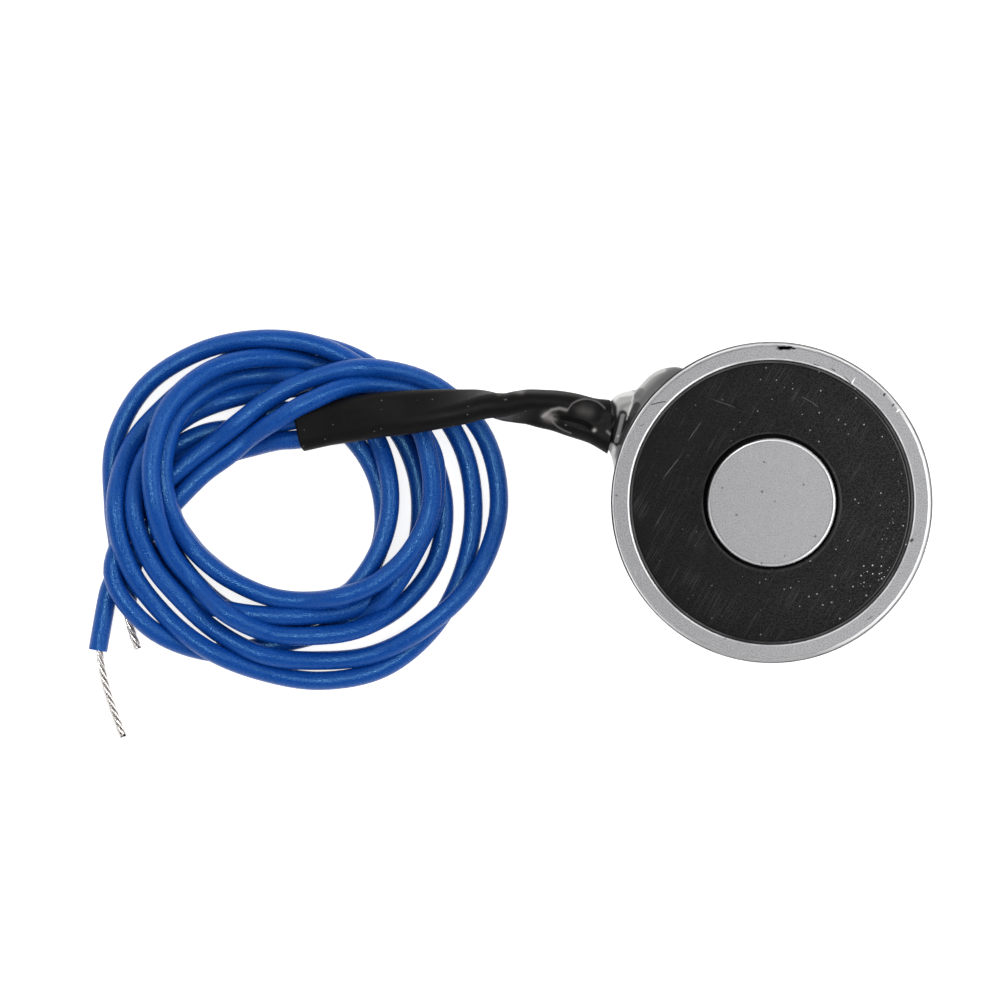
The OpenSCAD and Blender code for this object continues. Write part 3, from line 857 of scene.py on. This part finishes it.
class MAGNET_OT_stage(bpy.types.Operator):
    """Add the camera, the lamps, the world and the floor."""

    bl_idname = "magnet.stage"
    bl_label = "Stage"

    # Name, place and size in metres, power in watts, lights matt surfaces, shows in glossy ones
    LAMPS = (
        ("Key softbox", (-0.45, 0.35, 0.7), 0.4, 1.35, True, True),
        ("Right softbox", (0.6, 0.1, 0.7), 0.5, 3.3, True, True),
        ("Overhead fill", (-0.035, 0, 1.1), 0.6, 2.6, True, False),
        ("Crown light", (-0.16, 0.02, 1.1), 0.13, 5.6, False, True),
    )
    LAMP_AIM = (-35 * MM, 0, 0)
    FLOOR_SIZE = 6

    def execute(self, context):
        settings = context.scene.magnet_stage
        context.scene.view_settings.view_transform = "Standard"
        self.add_camera(context, settings)
        self.add_lamps(context)
        self.light_world(context)
        self.lay_floor(settings)
        return {"FINISHED"}

    def add_camera(self, context, settings):
        camera = bpy.data.cameras.new("Camera")
        camera.sensor_width = 36
        camera.lens = settings.lens
        camera.clip_end = 50
        obj = bpy.data.objects.new("Camera", camera)
        obj.location = (0, 0, settings.camera_height)
        back = (obj.location - Vector(settings.aim)).normalized()
        right = Vector((0, 1, 0)).cross(back).normalized()
        obj.rotation_euler = Matrix((right, back.cross(right), back)).transposed().to_euler()
        context.scene.collection.objects.link(obj)
        context.scene.camera = obj

    def add_lamps(self, context):
        for name, place, size, power, as_light, in_reflections in self.LAMPS:
            data = bpy.data.lights.new(name, "AREA")
            data.shape = "SQUARE"
            data.size = size
            data.energy = power
            lamp = bpy.data.objects.new(name, data)
            lamp.location = place
            lamp.visible_diffuse = as_light
            lamp.visible_glossy = in_reflections
            towards = Vector(self.LAMP_AIM) - Vector(place)
            lamp.rotation_euler = towards.to_track_quat("-Z", "Y").to_euler()
            context.scene.collection.objects.link(lamp)

    def light_world(self, context):
        """A sky that is bright low down and dim overhead, weaker in what is seen than as light."""
        world = bpy.data.worlds.new("Studio")
        world.use_nodes = True
        context.scene.world = world
        tree = world.node_tree
        sky = tree.nodes["Background"]
        sky.inputs["Color"].default_value = (1, 1, 1, 1)
        direction = add_node(tree, "ShaderNodeTexCoord").outputs["Generated"]
        height = parts_of(tree, direction)["Z"]
        overhead = between(tree, height, 1.0, 0.12, 0.25, 0.8, interpolation_type="SMOOTHSTEP")
        share = between(tree, seen_rays(tree), 1.6, 1.0)
        tree.links.new(calc(tree, "MULTIPLY", overhead, share), sky.inputs["Strength"])

    def lay_floor(self, settings):
        deselect_all()
        bpy.ops.mesh.primitive_plane_add(size=self.FLOOR_SIZE)
        floor = bpy.context.object
        floor.name = "Floor"
        material, tree, shader, _ = new_finish(
            "White floor", Roughness=0.9, Base_Color=(*settings.floor, 1), Specular_IOR_Level=0,
            Emission_Color=(1, 1, 1, 1))
        glow = between(tree, seen_rays(tree), 0.0, 0.8)
        tree.links.new(glow, shader.inputs["Emission Strength"])
        floor.data.materials.append(material)


class MAGNET_OT_leads(bpy.types.Operator):
    """Lay the two leads from the pot through the sleeve into the coil."""

    bl_idname = "magnet.leads"
    bl_label = "Leads"

    def execute(self, context):
        settings = context.scene.magnet_lead
        finish = insulation_finish(settings.insulation)
        offset = settings.diameter / 2 + HALF_GAP
        leads = (
            ("lead_a_long", 1, LEAD_A_TURNS, LEAD_A_END, ("lead_a", "lead_coil", "lead_a_tail")),
            ("lead_b_long", -1, LEAD_B_TURNS, LEAD_B_END, ("lead_b",)),
        )
        for name, hand, turns, end, nodes in leads:
            route = lead_route(hand, offset, turns, end)
            lead = tube_curve(name, [route], settings.diameter, sides=7)
            dress(lead, name, finish, "insulation", *nodes)
            lead["route_length"] = length_of(route)
            lead["route_start"] = route[0]
        return {"FINISHED"}


class MAGNET_OT_strands(bpy.types.Operator):
    """Twist the stripped ends of the leads."""

    bl_idname = "magnet.strands"
    bl_label = "Stripped ends"

    # Distance of the crests from the core, in strand diameters; nearer the core the grooves get painted
    # shade
    CREST_REACH = 1.35

    def execute(self, context):
        settings = context.scene.magnet_lead
        finish = tinned_finish(settings.tinned)
        for name, route, node in (("strands_a_twisted", STRANDS_A_ROUTE, "strands_a"),
                                  ("strands_b_twisted", STRANDS_B_ROUTE, "strands_b")):
            lines = self.strand_lines(route, settings)
            activate(tube_curve(name, lines, settings.strand_diameter, sides=3))
            bpy.ops.object.convert(target="MESH")
            bpy.ops.object.shade_smooth()
            bundle = dress(bpy.context.object, name, finish, "tinned_wire", node)
            reach = settings.strand_diameter * self.CREST_REACH
            # Painted shade in the grooves, by the distance of each vertex from the core
            paint(bundle, "lit_crest",
                  lambda co, normal: soft_step(0.5 * reach, reach, self.off_core(co, lines[0])))
        return {"FINISHED"}

    def off_core(self, co, core):
        return min((co - point).length for point in core)

    def strand_lines(self, route, settings):
        """A core strand and one layer twisted round it, with uneven ends."""
        core = drawn_fine([Vector(p) * MM for p in route], 12)
        lines = [core]
        layer = settings.strand_diameter / (2 * math.sin(math.pi / settings.strand_count))
        for k in range(settings.strand_count):
            line, travelled = [], 0.0
            for i, centre in enumerate(core):
                before, after = core[max(i - 1, 0)], core[min(i + 1, len(core) - 1)]
                heading = (after - before).normalized()
                side = heading.cross(Vector((0, 0, 1))).normalized()
                travelled += (centre - before).length
                turn = math.tau * (k / settings.strand_count + travelled / settings.strand_pitch)
                line.append(centre + layer * (side * math.cos(turn)
                                              + side.cross(heading) * math.sin(turn)))
            lines.append(line[:len(line) - k % 3])
        return lines


class MAGNET_OT_sleeve(bpy.types.Operator):
    """Draw the shrink sleeve over both leads, twisted and flared at the pot."""

    bl_idname = "magnet.sleeve"
    bl_label = "Shrink sleeve"

    # Rings to a step of the route, closer over the first steps, where the folds are
    FINE_STEPS = 4
    FINE_RINGS = 24
    RINGS = 8
    FOLDED_RINGS = 120
    INNER_STRIDE = 6
    # Room round the leads, rise over which the folds fade in, slant and bow of the cut mouth
    ROOM = 0.1 * MM
    FOLD_RISE = 0.9 * MM
    MOUTH_SLANT = 0.37
    MOUTH_BOW = 0.45 * MM

    def execute(self, context):
        settings = context.scene.magnet_lead
        outer = self.rings(settings, settings.sleeve_wall)
        inner = self.rings(settings, 0)
        for ring in outer[:self.FOLDED_RINGS]:
            middle = sum(ring, Vector()) / len(ring)
            for point in ring:
                if point.z > middle.z:
                    facing = soft_step(0, self.FOLD_RISE, point.z - middle.z)
                    point.z += stroked(SLEEVE_FOLDS, point.xy / MM) * facing * MM
        sleeve = skinned("sleeve_twisted", outer + inner[::-self.INNER_STRIDE])
        # Worn places and painted highlights and sheen, only on surfaces that face up
        paint(sleeve, "wear_and_sheen",
              lambda co, normal: stroked(SLEEVE_WEAR_AND_SHEEN, co.xy / MM) * soft_step(0.05, 0.6, normal.z))
        dress(sleeve, "sleeve_twisted", sleeve_finish(settings.sleeve), "shrink_sleeve", "lead_sleeve")
        return {"FINISHED"}

    def rings(self, settings, wall):
        """Rings of points along the route, at a distance from the leads."""
        radius = settings.diameter / 2
        v = radius + self.ROOM + wall
        u = radius + HALF_GAP + v
        steps = len(SLEEVE_ROUTE) - 1
        places = [i / self.FINE_RINGS for i in range(self.FINE_RINGS * self.FINE_STEPS)]
        places += [self.FINE_STEPS + i / self.RINGS
                   for i in range(self.RINGS * (steps - self.FINE_STEPS) + 1)]
        rings = []
        for at in places:
            centre, heading, long_axis, short_axis, scale = sleeve_frame(at)
            near_end = 1 - soft_step(0, 2, at)
            rings.append([
                centre + scale * (long_axis * x + short_axis * y)
                - heading * near_end * (self.MOUTH_SLANT * x + self.MOUTH_BOW * (1 - (x / u) ** 2))
                for x, y in self.section(u, v)])
        return rings

    def section(self, u, v, count=144):
        """Points at even steps round two half circles joined by straight sides."""
        flat = u - v
        half = math.pi * v + 2 * flat
        points = []
        for k in range(count):
            way = (k + 0.5) / count * 2 * half
            side, way = (1, way) if way < half else (-1, way - half)
            if way < math.pi * v:
                a = way / v - math.pi / 2
                x, y = flat + v * math.cos(a), v * math.sin(a)
            else:
                x, y = flat - (way - math.pi * v), v
            points.append((side * x, side * y))
        return points


class MAGNET_OT_adhesive(bpy.types.Operator):
    """Blend beads of clear adhesive along the wall on both sides of the exit."""

    bl_idname = "magnet.adhesive"
    bl_label = "Adhesive"

    # Chains of beads: angle round the pot in degrees, distance, radius and height in millimetres
    WALL_CHAIN = (
        (124, 19.2, 0.6, 8.6), (128, 19.6, 1.6, 8.4), (133, 19.9, 2.15, 8.2), (138, 19.95, 2.15, 8.2),
        (143, 20.1, 2.1, 8.2), (148, 20.3, 2.2, 8.2), (155, 20.3, 2.2, 8.2), (160, 20.2, 1.45, 8.2),
        (164, 19.9, 0.9, 8), (168, 19.7, 0.5, 8),
    )
    WEB_CHAIN = ((141, 20.7, 1.3, 8.8), (144, 21.8, 1.25, 8.8), (147, 22.7, 1.15, 8.8), (150, 22.3, 1, 8.8))
    THROAT_CHAIN = ((150.5, 23.3, 1.3, 8.4), (156, 22.6, 1.5, 8.2), (160, 21.3, 0.9, 8.2))
    TAB_CHAIN = ((150.5, 21.3, 0.62, 10.6), (155, 21, 0.6, 10.7), (158.8, 20.8, 0.6, 10.5))
    # Collar over the exit: half width in degrees, distance, bead radius and rise in millimetres
    COLLAR_WIDTH, COLLAR_DISTANCE, COLLAR_BEAD, COLLAR_RISE = 8.4, 19.6, 0.9, 2.9
    COLLAR_STEPS = 12
    # Painted shade at the wall, and distances from the axis in millimetres over which it turns into painted
    # light where the bead thins out
    LEAST_SHADE = 0.18
    DARK_TO, PALE_FROM = 20.6, 23.2
    # Share of the painted light and shade kept on surfaces that face sideways, which paints them darker
    SIDE_SHARE = 0.6

    def execute(self, context):
        deselect_all()
        beads = []
        for chain in (self.WALL_CHAIN, self.WEB_CHAIN, self.THROAT_CHAIN, self.TAB_CHAIN, self.collar()):
            for angle, distance, radius, height in drawn_fine(chain, 6):
                a = math.radians(angle)
                bpy.ops.mesh.primitive_uv_sphere_add(
                    segments=24, ring_count=12, radius=radius * MM,
                    location=(distance * MM * math.cos(a), distance * MM * math.sin(a), height * MM))
                beads.append(bpy.context.object)
        for bead in beads:
            bead.select_set(True)
        bpy.ops.object.join()
        bead = bpy.context.object
        bpy.ops.object.transform_apply(location=True, rotation=True, scale=True)
        apply_modifier(bead, "REMESH", mode="VOXEL", voxel_size=0.12 * MM)
        apply_modifier(bead, "SMOOTH", factor=0.5, iterations=10)
        deselect_all()
        bpy.ops.mesh.primitive_cylinder_add(
            vertices=192, radius=POT_R, depth=2 * POT_H, location=(0, 0, POT_H / 2))
        bpy.ops.object.transform_apply(location=True, rotation=True, scale=True)
        cut(bead, bpy.context.object)
        smooth_by_angle(bead, 40)
        # Painted light and shade on each vertex of the bead
        paint(bead, "shade", self.shade)
        dress(bead, "adhesive_bead", adhesive_finish(context.scene.magnet_pot.adhesive), "adhesive",
              "exit_seal")
        return {"FINISHED"}

    def collar(self):
        beads = []
        for k in range(self.COLLAR_STEPS + 1):
            a = k * math.tau / self.COLLAR_STEPS
            beads.append((EXIT_DEGREES + self.COLLAR_WIDTH * math.cos(a), self.COLLAR_DISTANCE,
                          self.COLLAR_BEAD, EXIT_Z / MM + self.COLLAR_RISE * math.sin(a)))
        return beads

    def shade(self, co, normal):
        """Painted shade against the wall, painted light where the bead thins out, then the drawn painted
        shadows and highlights over that, darker on surfaces that face sideways.
        """
        place = co.xy / MM
        shade = self.LEAST_SHADE + (1 - self.LEAST_SHADE) * soft_step(
            self.DARK_TO, self.PALE_FROM, place.length)
        for amount, width, line in ADHESIVE_SHADES:
            weight = 1 - soft_step(0.7, 1.2, distance_to_line(place, line) / width)
            shade += (amount - shade) * weight
        upward = soft_step(-0.2, 0.4, normal.z)
        return shade * (self.SIDE_SHARE + (1 - self.SIDE_SHARE) * upward)


class MAGNET_OT_pot(bpy.types.Operator):
    """Turn the steel pot with its pole and drill the exit hole."""

    bl_idname = "magnet.pot"
    bl_label = "Steel pot"

    # Middle and length of the drill that makes the exit hole
    DRILL_DISTANCE = 19 * MM
    DRILL_LENGTH = 6 * MM

    def execute(self, context):
        s = context.scene.magnet_pot
        groove_r = POT_R - s.wall
        profile = [
            (0, BORE_TIP), (BORE_R, BORE_DEPTH), (BORE_R, BORE_CHAMFER), (BORE_R + BORE_CHAMFER, 0),
            (POT_R - s.back_chamfer, 0), (POT_R, s.back_chamfer),
            (POT_R, POT_H - s.face_chamfer), (POT_R - s.face_chamfer, POT_H),
            (groove_r + s.edge_break, POT_H), (groove_r, POT_H - s.edge_break),
            (groove_r, s.back), (s.pole_radius, s.back),
            (s.pole_radius, POT_H - s.edge_break), (s.pole_radius - s.edge_break, POT_H), (0, POT_H),
        ]
        pot = spun(profile, 180)
        deselect_all()
        bpy.ops.mesh.primitive_cylinder_add(
            vertices=64, radius=EXIT_HOLE_R, depth=self.DRILL_LENGTH,
            location=(self.DRILL_DISTANCE * math.cos(EXIT_ANGLE),
                      self.DRILL_DISTANCE * math.sin(EXIT_ANGLE), EXIT_Z),
            rotation=(0, math.pi / 2, EXIT_ANGLE))
        bpy.ops.object.transform_apply(location=True, rotation=True, scale=True)
        cut(pot, bpy.context.object)
        cut(pot, self.thread_core())
        apply_modifier(pot, "BEVEL", width=0.05 * MM, segments=2, limit_method="ANGLE",
                       angle_limit=math.radians(30))
        smooth_by_angle(pot, 30)
        dress(pot, "steel_pot", steel_finish(s.steel), "steel", "pot_body")
        return {"FINISHED"}

    def thread_core(self, pitch=0.8 * MM, depth=0.4 * MM, around=40, per_turn=8, turns=9):
        """A plug with an outside thread, which cuts the thread into the bore."""
        deselect_all()
        bpy.ops.mesh.primitive_grid_add(x_subdivisions=around, y_subdivisions=per_turn * turns, size=2)
        plug = bpy.context.object
        root = BORE_R - 0.05 * MM
        for vertex in plug.data.vertices:
            turn, up = (vertex.co.x + 1) / 2, (vertex.co.y + 1) / 2 * turns
            ridge = 1 - abs((up - turn) % 1 * 2 - 1)
            r = root + depth * ridge
            a = math.tau * turn
            vertex.co = (r * math.cos(a), r * math.sin(a), (up - 0.5) * pitch)
        bpy.ops.object.mode_set(mode="EDIT")
        bpy.ops.mesh.select_all(action="SELECT")
        bpy.ops.mesh.remove_doubles(threshold=1e-6)
        bpy.ops.mesh.select_all(action="DESELECT")
        bpy.ops.mesh.select_non_manifold()
        bpy.ops.mesh.edge_face_add()
        bpy.ops.mesh.select_all(action="SELECT")
        bpy.ops.mesh.normals_make_consistent(inside=False)
        bpy.ops.object.mode_set(mode="OBJECT")
        return plug


class MAGNET_OT_resin(bpy.types.Operator):
    """Cast the resin ring with the gaps where it has shrunk away."""

    bl_idname = "magnet.resin"
    bl_label = "Resin"

    # Depth of the ring, and the width and depth of the gap at the pole
    DEPTH = 3 * MM
    POLE_GAP = 0.42 * MM
    POLE_GAP_DEPTH = 2.5 * MM
    # Distances from that gap between which the edge at the pole lies, and the shift of that edge,
    # which makes the gap wider on one side
    EDGE_BAND = (-0.12 * MM, 0.58 * MM)
    POLE_SHIFT = (-0.1 * MM, 0.1 * MM, 0)

    def execute(self, context):
        s = context.scene.magnet_pot
        top = POT_H - s.resin_drop
        inside, outside = s.pole_radius, POT_R - s.wall
        profile = [
            (inside, top - self.DEPTH), (outside, top - self.DEPTH), (outside, top - 0.9 * MM),
            (outside - 0.12 * MM, top - 0.7 * MM), (outside - 0.08 * MM, top),
            (inside + self.POLE_GAP, top), (inside + self.POLE_GAP, top - self.POLE_GAP_DEPTH),
            (inside, top - self.POLE_GAP_DEPTH - 0.1 * MM),
        ]
        resin = spun(profile, 180)
        near, far = (inside + self.POLE_GAP + d for d in self.EDGE_BAND)
        for vertex in resin.data.vertices:
            if near < vertex.co.xy.length < far:
                vertex.co += Vector(self.POLE_SHIFT)
        apply_modifier(resin, "BEVEL", width=0.06 * MM, segments=2, limit_method="ANGLE",
                       angle_limit=math.radians(40))
        smooth_by_angle(resin, 35)
        dress(resin, "resin_ring", resin_finish(s.resin), "resin", "potting")
        return {"FINISHED"}


class MAGNET_OT_inside(bpy.types.Operator):
    """Give the pieces inside the pot their finishes."""

    bl_idname = "magnet.inside"
    bl_label = "Pieces inside"

    # Pieces, name of the finish, colour, metallic and roughness
    FINISHES = (
        (("bobbin",), "Spool plastic", (0.6, 0.57, 0.48), 0, 0.45),
        (("winding",), "Enamelled copper", (0.6, 0.2, 0.07), 1, 0.3),
        (("winding_tape",), "Wrap film", (0.6, 0.45, 0.1), 0, 0.3),
        (("joint_a", "joint_b"), "Solder", (0.6, 0.6, 0.6), 1, 0.3),
        (("joint_cover_a", "joint_cover_b"), "Cover film", (0.02, 0.02, 0.02), 0, 0.5),
    )

    def execute(self, context):
        for nodes, name, colour, metallic, roughness in self.FINISHES:
            material = inner_finish(name, colour, metallic, roughness)
            for node in nodes:
                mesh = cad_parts[node].data
                mesh.materials.clear()
                mesh.materials.append(material)
        return {"FINISHED"}


class MAGNET_OT_declare_leads(bpy.types.Operator):
    bl_idname = "magnet.declare_leads"
    bl_label = "Declare leads"

    def execute(self, context):
        return {"FINISHED"}


class MAGNET_PT_panel(bpy.types.Panel):
    """Buttons for each piece in the order in which they are built."""

    bl_idname = "MAGNET_PT_panel"
    bl_label = "Holding electromagnet"
    bl_space_type = "VIEW_3D"
    bl_region_type = "UI"
    bl_category = "Magnet"

    def draw(self, context):
        for operator in OPERATORS:
            self.layout.operator(operator.bl_idname)


SETTINGS = (MagnetLeadSettings, MagnetPotSettings, MagnetStageSettings)
OPERATORS = (MAGNET_OT_stage, MAGNET_OT_leads, MAGNET_OT_strands, MAGNET_OT_sleeve, MAGNET_OT_adhesive,
             MAGNET_OT_pot, MAGNET_OT_resin, MAGNET_OT_inside, MAGNET_OT_declare_leads)


def register():
    for cls in (*SETTINGS, *OPERATORS, MAGNET_PT_panel):
        bpy.utils.register_class(cls)
    bpy.types.Scene.magnet_lead = PointerProperty(type=MagnetLeadSettings)
    bpy.types.Scene.magnet_pot = PointerProperty(type=MagnetPotSettings)
    bpy.types.Scene.magnet_stage = PointerProperty(type=MagnetStageSettings)


def unregister():
    del bpy.types.Scene.magnet_lead
    del bpy.types.Scene.magnet_pot
    del bpy.types.Scene.magnet_stage
    for cls in reversed((*SETTINGS, *OPERATORS, MAGNET_PT_panel)):
        bpy.utils.unregister_class(cls)


def main():
    register()
    build_groups()
    bpy.ops.magnet.stage()
    bpy.ops.magnet.leads()
    bpy.ops.magnet.strands()
    bpy.ops.magnet.sleeve()
    bpy.ops.magnet.adhesive()
    bpy.ops.magnet.pot()
    bpy.ops.magnet.resin()
    bpy.ops.magnet.inside()
    bpy.ops.magnet.declare_leads()


if __name__ == "__main__":
    main()
